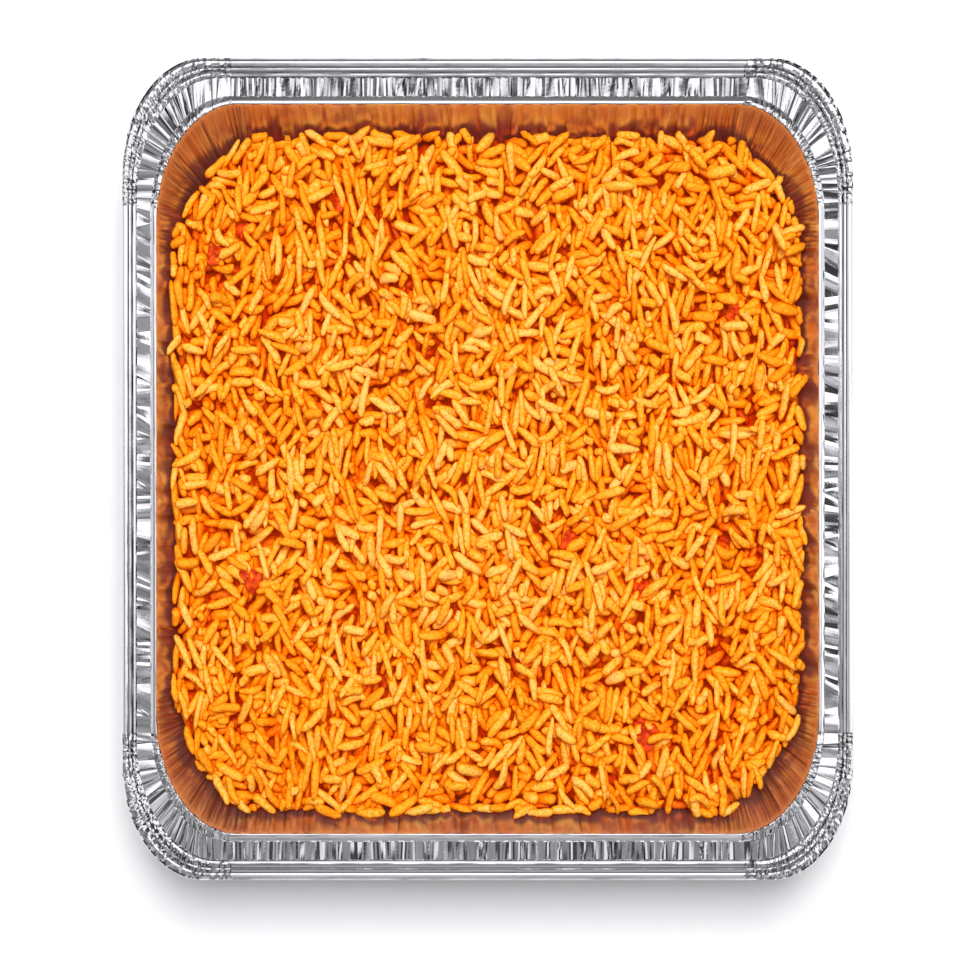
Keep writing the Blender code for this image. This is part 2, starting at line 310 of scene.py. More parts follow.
class Outline:
    """An outline of the plan as a path once round: a corner and then the side after it, four times."""

    def __init__(self, inset, reach):
        self.half = np.array(half_sizes(inset))
        self.reach = reach
        self.arc = math.pi / 2 * math.sqrt((CORNER_X ** 2 + CORNER_Y ** 2) / 2)
        self.spans = np.tile(2 * (self.half - (CORNER_X, CORNER_Y)), 2)
        parts = np.stack((np.full(4, self.arc), self.spans), axis=1).ravel()
        self.starts = np.concatenate(((0.0,), np.cumsum(parts)))
        self.length = float(self.starts[-1])

    def locate(self, u):
        """Which corner each distance along the path belongs to, how far round it, and along its side."""
        u = np.mod(u, self.length)
        part = np.clip(np.searchsorted(self.starts, u, side="right") - 1, 0, 7)
        corner = part // 2
        way = u - self.starts[part]
        on_side = part % 2 == 1
        return corner, np.where(on_side, 1.0, way / self.arc), np.where(on_side, way, 0.0)

    def zone(self, u):
        """Whether a place is in a corner, where the foil is crumpled, or on an end or a side."""
        corner, turn, way = self.locate(u)
        near = np.minimum(way, self.spans[corner] - way)
        return np.where((turn < 1) | (near < self.reach), CORNER, np.where(corner % 2 == 0, END, SIDE))

    def place(self, u, inset):
        """The plan's points straight in from places on the path, at an inset from the outer edge."""
        radii = np.array((CORNER_X, CORNER_Y))
        half = np.array(half_sizes(inset))
        corner, turn, way = self.locate(u)
        # Round a corner: the angles that lie straight in from the corner's two ends
        first, last = np.arcsin(np.clip((self.half - half)[::-1] / radii[::-1], 0, 1))
        swapped = corner % 2 == 1
        angle = np.where(swapped, last, first) + (math.pi / 2 - first - last) * turn
        angle = angle + corner * math.pi / 2
        signs = np.stack((np.where(np.isin(corner, (0, 3)), 1, -1), np.where(corner < 2, 1, -1)), axis=1)
        round_part = signs * (half - radii) + radii * np.stack((np.cos(angle), np.sin(angle)), axis=1)
        # Along a side: the same distance along it, and on the bend where that is past its end
        along = self.spans[corner] / 2 - way
        axis = corner % 2  # 0 along X, at the back and front; 1 along Y, at the sides
        past = np.maximum(np.abs(along) - (half - radii)[axis], 0) / radii[axis]
        depth = (half - radii)[1 - axis] + radii[1 - axis] * np.sqrt(np.clip(1 - past ** 2, 0, 1))
        turned = np.where(corner < 2, 1, -1)
        x = np.where(axis == 0, along * turned, -depth * turned)
        y = np.where(axis == 0, depth * turned, along * turned)
        return np.where((turn < 1)[:, None], round_part, np.stack((x, y), axis=1))


class Pleats:
    """Creases across a strip of foil, once round the tray, and the columns of points between them.

    Each kind of place has its own pitch and height of the pleats, part of them that are folded over,
    slant across the strip (a steady and a random part), spacing of the columns, and bulge.
    """

    def __init__(self, rng, outline, pitches, stands, folds, slants, spacings, bulges):
        places = [0.0]
        while places[-1] < outline.length:
            zone = int(outline.zone(places[-1]))
            folded = rng.uniform() < folds[zone]
            places.append(places[-1] + rng.uniform(*(FOLDED if folded else OPEN)) * pitches[zone])
        if len(places) % 2 == 0:
            places.append(places[-1] + pitches[CORNER])
        self.outer = np.array(places) * (outline.length / places[-1])
        zones = outline.zone(self.outer)
        gaps = np.diff(self.outer)
        steady, loose = np.array(slants).T
        shift = steady[zones] + loose[zones] * rng.uniform(-1, 1, len(zones))
        self.inner = self.outer + shift
        for crease in range(1, len(self.inner)):
            least = self.inner[crease - 1] + PINCHED * gaps[crease - 1]
            self.inner[crease] = max(self.inner[crease], least)
        self.inner[-1] = self.inner[0] + outline.length
        up = np.where(np.arange(len(zones)) % 2 == 0, 0.5, -0.5) * np.take(stands, zones)
        self.stands = up * rng.uniform(*STAND_SPREAD, (2, len(zones)))
        self.stands[:, -1] = self.stands[:, 0]
        self.round = gaps * np.take(bulges, zones[:-1]) * rng.uniform(*BULGE_SPREAD, len(gaps))
        steps = np.maximum(1, np.round(gaps / np.take(spacings, zones[:-1])).astype(int))
        self.crease = np.repeat(np.arange(len(gaps)), steps)
        first = np.repeat(np.cumsum(steps) - steps, steps)
        self.part = (np.arange(len(self.crease)) - first) / np.repeat(steps, steps)
        self.tight = outline.zone(self.between(self.outer)) == CORNER
        self.sharp = (self.part == 0) & (zones[self.crease] == CORNER)
        self.wavy = zones[self.crease] != CORNER

    def between(self, values):
        """One value a crease, taken to each column."""
        before = values[self.crease]
        return before + (values[self.crease + 1] - before) * self.part

    def at(self, across):
        """Places of the columns along the path, at a fraction of the way across the strip."""
        return self.between(self.outer + (self.inner - self.outer) * across)

    def height(self, across):
        """How far the columns stand out there."""
        stands = self.stands[0] + (self.stands[1] - self.stands[0]) * across
        before = stands[self.crease]
        part = np.where(self.wavy, self.part ** 2 * (3 - 2 * self.part), self.part)
        bulge = self.round[self.crease] * 4 * part * (1 - part)
        return before + (stands[self.crease + 1] - before) * part + bulge


# ---------------- foil tray


def foil_material(looks, name, roughness, diffuse, shade_painted=False):
    """Rolled aluminium foil, pressed and pleated.

    Bare metal that mirrors the room with hardly any blur on the rim. The walls are dulled by fine
    handling creases, so they show the rice as soft copper-coloured streaks. Inside, they carry painted
    shade: an attribute says how much darker they are painted, in the folds and down towards the rice.
    """
    material, tree, place = new_material(name)
    metal = tuple(looks.metal)
    if shade_painted:
        # Painted shade: the metal is mixed towards a darker brown where the points say, in the creases and
        # down towards the rice.
        painted_shade = add_node(tree, "Attribute", attribute_name="painted_shade").outputs["Fac"]
        colours = {"Factor": painted_shade, 6: metal, 7: tuple(looks.painted_shade)}
        metal = add_node(tree, "Mix", colours, data_type="RGBA").outputs[2]
    creases = {"Vector": place, "Scale": 1 / (2.4 * MM), "Detail": 3.0, "Roughness": 0.55}
    crinkle = add_node(tree, "TexNoise", creases).outputs["Fac"]
    inputs = {"Base Color": metal, "Metallic": 1.0 - diffuse, "Roughness": roughness}
    return finish_material(material, inputs, crinkle, strength=0.35, depth=0.08 * MM)


def wall_section():
    """The walls' points, from the rim's last one down to the floor, each an inset and a height."""
    mouth_height = TRAY_HEIGHT - MOUTH_DEPTH
    bend_height = WALL_FLOOR + FLOOR_BEND / math.hypot(1, WALL_LEAN)
    points = []
    for way, _ in WALL_ROWS:
        height = mouth_height + (bend_height - mouth_height) * way
        points.append((wall_inset(height), height))
    start = Vector(points[-1])
    corner_inset = wall_inset(WALL_FLOOR)
    corner = Vector((corner_inset, WALL_FLOOR))
    end = Vector((corner_inset + FLOOR_BEND, WALL_FLOOR))
    for way, _ in BEND_ROWS:
        points.append(tuple(start.lerp(corner, way).lerp(corner.lerp(end, way), way)))
    return points


def section_normals(section):
    """Unit normals of a section, pointing up or into the tray."""
    tangents = np.gradient(np.array(section), axis=0)
    tangents /= np.linalg.norm(tangents, axis=1)[:, None]
    return np.stack((-tangents[:, 1], tangents[:, 0]), axis=1)


def lay_rows(outline, section, places, pushes):
    """Points of a strip of foil, row by row, each pushed out of the section by the pleats."""
    rows = []
    normals = section_normals(section)
    for (inset, height), (toward, upward), place, push in zip(section, normals, places, pushes):
        plan = outline.place(place, inset)
        ahead = np.roll(plan, -1, axis=0) - np.roll(plan, 1, axis=0)
        ahead /= np.linalg.norm(ahead, axis=1)[:, None]
        inward = np.stack((-ahead[:, 1], ahead[:, 0]), axis=1)
        top = np.minimum(height + push * upward, TRAY_HEIGHT)
        rows.append(np.column_stack((plan + inward * (push * toward)[:, None], top)))
    return np.array(rows)


def random_wave(rng, count):
    """Random numbers, each a little like its neighbours."""
    rough = rng.uniform(-1, 1, count)
    return 0.8 * rough + 0.35 * np.roll(rough, 1) + 0.35 * np.roll(rough, -1)


def shape_rim(looks, rng, outline):
    """The rim's points, its pleats, and the rows between which the pleats have sharp creases."""
    section = [(inset * MM, TRAY_HEIGHT - depth * MM) for inset, depth in OUTER + BAND + INNER]
    start = len(OUTER)
    end = start + len(BAND) - 1
    pleats = Pleats(
        rng,
        outline,
        pitches=(looks.corner_pitch, looks.end_pitch, looks.side_pitch),
        stands=(looks.stand * 0.7, looks.stand * 1.35, looks.stand * 1.25),
        folds=(0.3, 0.12, 0.1),
        slants=((0.0, 0.7 * MM), (0.0, 0.4 * MM), (0.9 * MM, 2.2 * MM)),
        spacings=(0.56 * MM, 0.7 * MM, 0.95 * MM),
        bulges=(0.09, 0.03, 0.05),
    )
    columns = len(pleats.part)
    u = pleats.between(pleats.outer)
    places = []
    pushes = []
    wrinkle = random_wave(rng, columns)
    for row, (inset, _) in enumerate(section):
        across = min(max((row - start) / (end - start), 0.0), 1.0)
        places.append(pleats.at(across))
        if start <= row <= end:
            pushes.append(pleats.height(across))
            continue
        # Each row keeps most of the creases of the row before it
        wrinkle = 0.88 * wrinkle + 0.36 * random_wave(rng, columns)
        phase = rng.uniform(0, 2 * math.pi, 3)
        slow = sum(np.sin(u / (wave * MM) + shift) for wave, shift in zip(RIPPLES, phase))
        depth = looks.crumple * (EDGE_CRUMPLE if inset < 0.5 * MM else 1.0)
        pushes.append(np.where(pleats.tight, wrinkle * depth, slow * RIPPLE_HEIGHT))
    pushes[-1] = np.zeros(columns)
    # No painted shade on the rim.
    painted_shade = np.zeros((len(section), columns))
    return lay_rows(outline, section, places, pushes), pleats, (start, end), painted_shade


def shape_walls(looks, rng, outline):
    """The same for the walls: lobes down the straight walls, fine folds down the corners."""
    section = wall_section()
    pleats = Pleats(
        rng,
        outline,
        pitches=(looks.wall_corner_pitch, looks.wall_end_pitch, looks.wall_side_pitch),
        stands=(looks.wall_stand * 0.7, looks.wall_stand, looks.wall_stand * 1.4),
        folds=(0.3, 0.1, 0.0),
        slants=((0.0, 0.5 * MM), (-1.0 * MM, 1.2 * MM), (2.0 * MM, 1.5 * MM)),
        spacings=(0.6 * MM, 0.7 * MM, 1.0 * MM),
        bulges=(0.04, 0.10, 0.10),
    )
    strength = [amount for _, amount in WALL_ROWS + BEND_ROWS]
    ways = np.linspace(0, 1, len(section))
    places = [pleats.at(way) for way in ways]
    pushes = [pleats.height(way) * amount for way, amount in zip(ways, strength)]
    # Painted shade: darker at each crease and fading away from it, and darker down towards the rice
    crease_shades = rng.uniform(*CREASE_SHADE, len(pleats.outer))
    fading = crease_shades[pleats.crease] * (1 - pleats.part) ** CREASE_SHADE_FADING
    folds = np.where(pleats.tight, fading * looks.corner_fold_shade, fading * looks.lobe_shade)
    lower = np.clip(ways / looks.shade_reach, 0, 1) ** WALL_SHADE_GROWTH * looks.painted_wall_shade
    painted_shade = np.array([np.clip(folds * amount + low, 0, 1) for amount, low in zip(strength, lower)])
    return lay_rows(outline, section, places, pushes), pleats, (1, len(WALL_ROWS) - 1), painted_shade


def sheet_mesh(name, rows, pleats, sharp_rows, painted_shade, closed_floor):
    """A grid wrapped once round the tray, shaped row by row, with sharp creases and its seam merged."""
    row_count, columns = rows.shape[:2]
    points = np.concatenate((rows, rows[:, :1]), axis=1).reshape(-1, 3)
    painted_shade = np.concatenate((painted_shade, painted_shade[:, :1]), axis=1).ravel()
    bm = bmesh.new()
    bmesh.ops.create_grid(bm, x_segments=columns, y_segments=row_count - 1, size=0.5)
    # Each point keeps its painted shade, which the walls' material reads.
    layer = bm.verts.layers.float.new("painted_shade")
    for vert, point, painted_wall_shade in zip(bm.verts, points, painted_shade):
        vert.co = point
        vert[layer] = painted_wall_shade
    bm.verts.ensure_lookup_table()
    width = columns + 1
    for column in np.flatnonzero(pleats.sharp):
        for row in range(*sharp_rows):
            ends = [bm.verts[step * width + column] for step in (row, row + 1)]
            bm.edges.get(ends).smooth = False
    seam = [bm.verts[row * width + end] for row in range(row_count) for end in (0, columns)]
    last = set(bm.verts[-width:])
    bmesh.ops.remove_doubles(bm, verts=seam, dist=0.0001 * MM)
    border = [edge for edge in bm.edges if edge.is_boundary]
    for edge in border:
        edge.smooth = False
    if closed_floor:
        bmesh.ops.edgeloop_fill(bm, edges=[edge for edge in border if last.issuperset(edge.verts)])
    bmesh.ops.recalc_face_normals(bm, faces=bm.faces)
    mesh = mesh_from_bmesh(name, bm)
    if mesh.polygons[len(mesh.polygons) // 2].normal.z < 0:
        mesh.flip_normals()
    return mesh


class RICETRAY_OT_foil_tray(bpy.types.Operator):
    """Make the pleated foil tray: its rim, and its walls with the floor"""

    bl_idname = "rice_tray.foil_tray"
    bl_label = "Foil Tray"

    def execute(self, context):
        looks = context.scene.rice_tray_foil
        rng = np.random.default_rng(looks.seed)
        edge = Outline(0.0, looks.crumple_reach)
        mouth = Outline(MOUTH_INSET, looks.crumple_reach)
        bright = foil_material(looks, "bright_aluminium_foil", looks.roughness, 0.0)
        # The walls have painted shade inside; their outside is plain.
        shaded_walls = foil_material(looks, "aluminium_foil_with_painted_shade", looks.wall_roughness, WALL_DIFFUSE, shade_painted=True)
        matt = foil_material(looks, "matt_aluminium_foil", looks.wall_roughness, WALL_DIFFUSE)
        for name, parts, closed_floor, material, outside in (
            ("foil_rim", shape_rim(looks, rng, edge), False, bright, bright),
            ("foil_walls", shape_walls(looks, rng, mouth), True, shaded_walls, matt),
        ):
            piece = link_object(name, sheet_mesh(name, *parts, closed_floor), material)
            sheet = piece.modifiers.new("sheet", "SOLIDIFY")
            sheet.thickness = looks.sheet
            sheet.offset = -1.0
            if outside != material:
                piece.data.materials.append(outside)
                sheet.material_offset = 1
            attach(piece, BODY)
            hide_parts("foil_tray")
        return {"FINISHED"}


# ---------------- heap of rice


class GrainKind(NamedTuple):
    """One kind of cooked grain, against the mean grain."""

    name: str
    share: float
    stretch: float
    thickness: float
    bend: float  # how far its ends turn aside
    groove: float  # depth of the furrow along it
    broken: bool  # one end snapped off flat


GRAIN_KINDS = (
    GrainKind("grains_long", 0.17, 1.06, 0.98, 0.06, 0.10, False),
    GrainKind("grains_slim", 0.15, 0.98, 0.88, 0.10, 0.10, False),
    GrainKind("grains_curved", 0.16, 1.04, 0.97, 0.22, 0.10, False),
    GrainKind("grains_hooked", 0.12, 1.02, 0.92, 0.42, 0.12, False),
    GrainKind("grains_split", 0.17, 0.96, 1.10, 0.10, 0.36, False),
    GrainKind("grains_short", 0.13, 0.62, 1.02, 0.08, 0.12, True),
    GrainKind("grains_crumbs", 0.10, 0.40, 0.92, 0.05, 0.15, True),
)


# How far one grain differs from another of its kind, as the least and the most, or the most either way
LENGTH_SPREAD = (0.8, 1.18)  # length, against the mean
GIRTH_SPREAD = (0.84, 1.12)  # thickness, against the mean
POINTED = (0.75, 1.9)  # logarithm of the power that closes an end: pointed, or blunt
SNAPPED = 9.0  # the power at an end that is snapped off
TAPER = 0.2  # how much thicker one end is than the middle
WAVES = (2.6, 5.2, 9.0)  # slow waves along it
WAVE_DEPTH = 0.05
GROOVE_SPREAD = (0.4, 1.2)  # depth of the furrow, against the mean
ROUGH_SKIN = 0.06  # unevenness from point to point
FLATNESS = (0.84, 1.04)  # height of the section, against its width
BEND_SPREAD = (0.2, 1.0)  # bend, against the most of its kind
KINK = 0.5  # how far from the middle the bend lies, against half the length
SWAY = 0.07  # how far it swings to both sides
DROOP = (-0.02, 0.10)  # how far its ends hang down


class Lying(NamedTuple):
    """A grain on the heap. Its direction and sizes are those before the plan's stretch."""

    kind: int
    middle: np.ndarray
    direction: np.ndarray
    length: float
    radius: float
    height: float = 0.0
    slope: float = 0.0


# Towards the back wall the rice slopes down, and again on a ledge: where each starts, and how far
# it runs, against half the tray's depth
SLOPE_START = 0.45
SLOPE_RUN = 0.4
LEDGE_START = 0.76
LEDGE_RUN = 0.1


def rice_level(looks, x, y):
    """Mean height of the rice: crowned, wavy and lower along the back wall, as in the solid."""
    u = x / (TRAY_WIDTH / 2)
    v = y / (TRAY_DEPTH / 2)
    crown = looks.crown * (1 - u * u) * (1 - v * v)
    drop = looks.back_drop * np.maximum(0.0, (v - SLOPE_START) / SLOPE_RUN) ** 2
    drop = drop + looks.back_ledge * np.clip((v - LEDGE_START) / LEDGE_RUN, 0.0, 1.0) ** 1.5
    half_x, half_y = half_sizes(wall_inset(looks.level))
    bend_x = np.maximum(0, np.abs(x) - half_x + CORNER_X) / CORNER_X
    bend_y = np.maximum(0, np.abs(y) - half_y + CORNER_Y) / CORNER_Y
    drop = drop + looks.corner_drop * 2 * bend_x * bend_y
    # The same slow waves as in the solid
    waves = np.sin(7.1 * u + 2.3 * v + 0.6) + np.sin(5.3 * v - 3.7 * u + 2.0)
    return looks.level + crown - drop + looks.swell * waves / 2


RICE_ROUGHNESS = 0.34  # loose grains, moist and a little oily
BED_ROUGHNESS = 0.6  # grains of the bed, dulled by thick sauce
SAUCE_AND_SHADE_POWER = 1.6  # how steeply the sauce and painted shade grow with depth, and the painted shade towards the bottom of a grain
EDGE_DARKENING_START = 0.7  # where the heap starts to get darker and redder towards its edge: its middle is 1, and its edge is 0
# Places from which a falling grain takes the lowest, for each layer
BED_CHOICES = 8
LOOSE_CHOICES = 12
LAST_CHOICES = 60


class Heap:
    """Heights over a fine square grid, on which grains come to rest one by one."""

    cell = 0.45 * MM
    sink = 1.0 * MM  # soft grains press into each other a little
    steepest = 0.55
    loft = 3 * MM  # a grain that would lie higher over the rest rolls off
    start_depth = 2 * MM  # grains fall only where there is room this far under the mean level
    start_room = 0.35  # that room, against a grain's width
    blunt = 0.4  # how far a grain's ends lie inside its tips, against its radius
    touch = 0.3  # how far they stay from the wall, against its radius
    no_grain = 0.3  # tone of the heap where no grain has fallen
    inner = 1.001  # keeps a sampled place inside the grid's last cell
    bins = 9  # a grain rests on the highest points under these parts of its length
    propped = 0.4  # part of the grains that neighbours prop up, with the lower end in the heap
    tipped = 0.5  # the most that this changes their slope
    lowered = 0.3  # how far it lowers their middle, against their length
    batch = 40  # grains between two looks at how far the heap has risen
    coarse = 40  # random heights along each side of the grid of clumps

    def __init__(self, looks):
        self.looks = looks
        half_x = TRAY_WIDTH / 2
        half_y = TRAY_DEPTH / 2
        self.origin = np.array((-half_x, -half_y))
        self.stretch = np.array((looks.stretch_x, looks.stretch_y))
        self.x = np.arange(-half_x, half_x, self.cell)
        self.y = np.arange(-half_y, half_y, self.cell)
        grid_x, grid_y = np.meshgrid(self.x, self.y, indexing="ij")
        self.level = rice_level(looks, grid_x, grid_y)
        self.height = self.level - looks.buried - looks.loose + looks.proud
        self.tone = np.full_like(self.height, self.no_grain)
        room = looks.grain_width * self.start_room
        self.free = inside(grid_x, grid_y, self.level - self.start_depth, room, looks.rounder)
        self.spots = np.argwhere(self.free)
        # Clumps and hollows: random heights on a coarse grid, with smooth steps between them
        random = np.random.default_rng(looks.seed).uniform(-1, 1, (self.coarse, self.coarse))
        steps = [np.modf((places - places[0]) / looks.lump_size) for places in (self.x, self.y)]
        (a, i), (b, j) = [(part * part * (3 - 2 * part), whole.astype(int)) for part, whole in steps]
        rows = random[i] + (random[i + 1] - random[i]) * a[:, None]
        self.lumps = looks.lumps * (rows[:, j] + (rows[:, j + 1] - rows[:, j]) * b)

    def rise(self):
        """How far the heap stands over its mean level, on average."""
        return float(np.mean((self.height - self.level)[self.free]))

    def window(self, middle, reach):
        """The grid's cells round a place."""
        low = np.maximum(((middle - reach - self.origin) / self.cell).astype(int), 0)
        high = ((middle + reach - self.origin) / self.cell).astype(int) + 2
        return slice(low[0], high[0]), slice(low[1], high[1])

    def footprint(self, grain):
        """Cells under a grain: how far along it each lies, and the grain's half thickness there."""
        middle = grain.middle
        direction = grain.direction
        span = grain.length / 2
        cells = self.window(middle, (np.abs(direction) * span + grain.radius) * self.stretch)
        offset_x = (self.x[cells[0]][:, None] - middle[0]) / self.stretch[0]
        offset_y = (self.y[cells[1]][None, :] - middle[1]) / self.stretch[1]
        along = offset_x * direction[0] + offset_y * direction[1]
        across = offset_y * direction[0] - offset_x * direction[1]
        width = grain.radius * np.sqrt(np.clip(1 - np.abs(along / span) ** 5, 0, 1))
        thick = np.sqrt(np.clip(width ** 2 - across ** 2, 0, None))
        return cells, along, thick

    def rest(self, grain):
        """The grain at the height and slope at which it lies on what is below it."""
        cells, along, thick = self.footprint(grain)
        under = thick > 0
        need = (self.height[cells] + thick)[under]
        place = ((along[under] / grain.length + 0.5) * self.bins).astype(int).clip(0, self.bins - 1)
        tops = np.full(self.bins, -1.0)
        np.maximum.at(tops, place, need)
        s = ((np.arange(self.bins) + 0.5) / self.bins - 0.5) * grain.length
        gap = s[None, :] - s[:, None]
        pairs = (s[:, None] < 1e-9) & (s[None, :] > -1e-9) & (gap > 1e-9)
        line = tops[:, None] * s[None, :] - tops[None, :] * s[:, None]
        line = np.where(pairs, line / np.where(pairs, gap, 1), -1)
        i, j = np.unravel_index(np.argmax(line), line.shape)
        slope = float(np.clip((tops[j] - tops[i]) / gap[i, j], -self.steepest, self.steepest))
        return grain._replace(height=float(np.max(tops - slope * s)) - self.sink, slope=slope)

    def clear_of_wall(self, grain):
        """True where both ends of a grain stay inside the tray."""
        run = grain.length / 2 - grain.radius * self.blunt
        for sign in (-1, 1):
            end = grain.middle + grain.direction * self.stretch * run * sign
            height = grain.height + grain.slope * run * sign
            if not inside(*end, height, grain.radius * self.touch, self.looks.rounder):
                return False
        return True

    def stamp(self, grain, tone):
        """Raise the heap by a grain."""
        cells, along, thick = self.footprint(grain)
        top = np.where(thick > 0, grain.height + grain.slope * along + thick, -1)
        higher = top > self.height[cells]
        self.height[cells] = np.where(higher, top, self.height[cells])
        self.tone[cells] = np.where(higher, tone, self.tone[cells])

    def try_grain(self, rng, kind, pick):
        """A grain of random size and direction, lying at a place."""
        middle = self.origin + (pick + rng.uniform(0, 1, 2)) * self.cell
        turn = rng.uniform(0, math.pi)
        direction = np.array((math.cos(turn), math.sin(turn)))
        length = self.looks.grain_length * GRAIN_KINDS[kind].stretch * rng.uniform(*LENGTH_SPREAD)
        radius = self.looks.grain_width / 2 * GRAIN_KINDS[kind].thickness * rng.uniform(*GIRTH_SPREAD)
        return self.rest(Lying(kind, middle, direction, length, radius))

    def drop_grains(self, rng, thickness, choices, keep_clear=()):
        """Let grains fall on the lowest of some places until the heap has grown by a thickness."""
        shares = [kind.share for kind in GRAIN_KINDS]
        grains = []
        goal = self.rise() + thickness
        while len(grains) % self.batch or self.rise() < goal:
            kind = int(rng.choice(len(GRAIN_KINDS), p=shares))
            picks = self.spots[rng.integers(0, len(self.spots), choices)]
            depth = (self.height - self.level - self.lumps)[picks[:, 0], picks[:, 1]]
            lowest = None
            for pick in picks[np.argsort(depth)[:2]]:
                for _ in range(2):
                    grain = self.try_grain(rng, kind, pick)
                    near = [math.hypot(*(grain.middle - place)) < room for place, room in keep_clear]
                    if any(near) or not self.clear_of_wall(grain):
                        continue
                    cell = tuple(((grain.middle - self.origin) / self.cell).astype(int))
                    rise = grain.height - self.level[cell] - self.lumps[cell]
                    if rise < goal + self.loft and (lowest is None or rise < lowest[0]):
                        lowest = (rise, grain)
            if lowest:
                grain = lowest[1]
                if rng.uniform() < self.propped:
                    tilt = rng.uniform(-self.tipped, self.tipped)
                    low = abs(tilt) * grain.length * self.lowered
                    grain = grain._replace(slope=grain.slope + tilt, height=grain.height - low)
                grains.append(grain)
                self.stamp(grain, rng.uniform(0, 1))
        return grains

    def sample(self, field, x, y):
        """A field's value at any places, between its four nearest cells."""
        place_x = np.clip((x - self.x[0]) / self.cell, 0, len(self.x) - self.inner)
        place_y = np.clip((y - self.y[0]) / self.cell, 0, len(self.y) - self.inner)
        i = place_x.astype(int)
        j = place_y.astype(int)
        a = place_x - i
        b = place_y - j
        near = field[i, j] * (1 - a) * (1 - b) + field[i + 1, j] * a * (1 - b)
        return near + field[i, j + 1] * (1 - a) * b + field[i + 1, j + 1] * a * b


def sauce_and_shade_by_place(looks, x, y, z):
    """Sauce and painted shade by place: none at the top of the heap's middle, more deeper down in it, and
    darker towards its edge.
    """
    deep = np.clip((rice_level(looks, x, y) + looks.proud - z) / looks.sauce_and_shade_depth, 0, 1)
    middle = (1 - (2 * x / TRAY_WIDTH) ** 2) * (1 - (2 * y / TRAY_DEPTH) ** 2)
    return looks.depth_shade * deep ** SAUCE_AND_SHADE_POWER + looks.edges * (EDGE_DARKENING_START - middle)


def cooked_rice_material(looks, name, roughness):
    """Long-grain rice fried and then simmered in tomato stock.

    The grains are moist and a little greasy, so they have a soft sheen. Their starch takes up the
    stock unevenly from grain to grain. Their colour also carries painted light and shade: crowns are cream
    as a painted highlight, flanks golden, undersides orange as painted shade, and the heap is painted
    darker and redder deep down, where there is sauce between the grains too, and towards its edge. Their
    skin is dimpled, with specks of spice on it. A faint even red glow is painted in for the light that
    comes through the grains from their neighbours.
    """
    material, tree, place = new_material(name)
    # The attribute read here holds random tone, painted shade on the undersides and deep in the heap, with
    # sauce there too, and darker towards the heap's edge; crowns stay lightest, a painted highlight.
    sauce_and_shade = add_node(tree, "Attribute", attribute_name="sauce_and_shade").outputs["Fac"]
    clouds = {"Vector": place, "Scale": 1 / (1.2 * MM), "Detail": 4.0}
    patches = add_node(tree, "TexNoise", clouds).outputs["Fac"]
    sums = {0: patches, 1: 0.8, 2: sauce_and_shade}
    uneven = add_node(tree, "Math", sums, operation="MULTIPLY_ADD").outputs["Value"]
    limits = {"Value": uneven, "From Min": 0.40, "From Max": 1.42}
    sauce_and_shade_amount = add_node(tree, "MapRange", limits).outputs["Result"]
    # The ramp runs from a crown's painted highlight to the painted shade, partly sauce, deep between the
    # grains.
    bands = add_node(tree, "ValToRGB", {"Fac": sauce_and_shade_amount})
    ramp = bands.color_ramp.elements
    ramp[0].position = 0.02
    ramp[0].color = looks.cream
    ramp[1].color = looks.sauce_and_shade
    for position, shade in ((0.2, looks.pale), (0.42, looks.golden), (0.68, looks.orange)):
        ramp.new(position).color = shade
    dots = {"Vector": place, "Scale": 1 / (1.5 * MM)}
    distance = add_node(tree, "TexVoronoi", dots).outputs["Distance"]
    limits = {"Value": distance, "From Min": 0.12, "From Max": 0.36, "To Min": 0.62, "To Max": 0.0}
    near_speck = add_node(tree, "MapRange", limits).outputs["Result"]
    colours = {"Factor": near_speck, 6: bands.outputs["Color"], 7: tuple(looks.herb)}
    speckled = add_node(tree, "Mix", colours, data_type="RGBA").outputs[2]
    dimples = {"Vector": place, "Scale": 1 / (0.9 * MM), "Detail": 3.0}
    skin = add_node(tree, "TexNoise", dimples).outputs["Fac"]
    inputs = {
        "Base Color": speckled,
        "Roughness": roughness,
        "IOR": 1.42,
        # A painted glow: an even red emission for the light that comes through the grains.
        "Emission Color": tuple(looks.glow),
        "Emission Strength": looks.glow_strength,
    }
    return finish_material(material, inputs, skin, strength=1.0, depth=0.32 * MM)


BED_SPACING = 0.86 * MM  # about four points across a grain


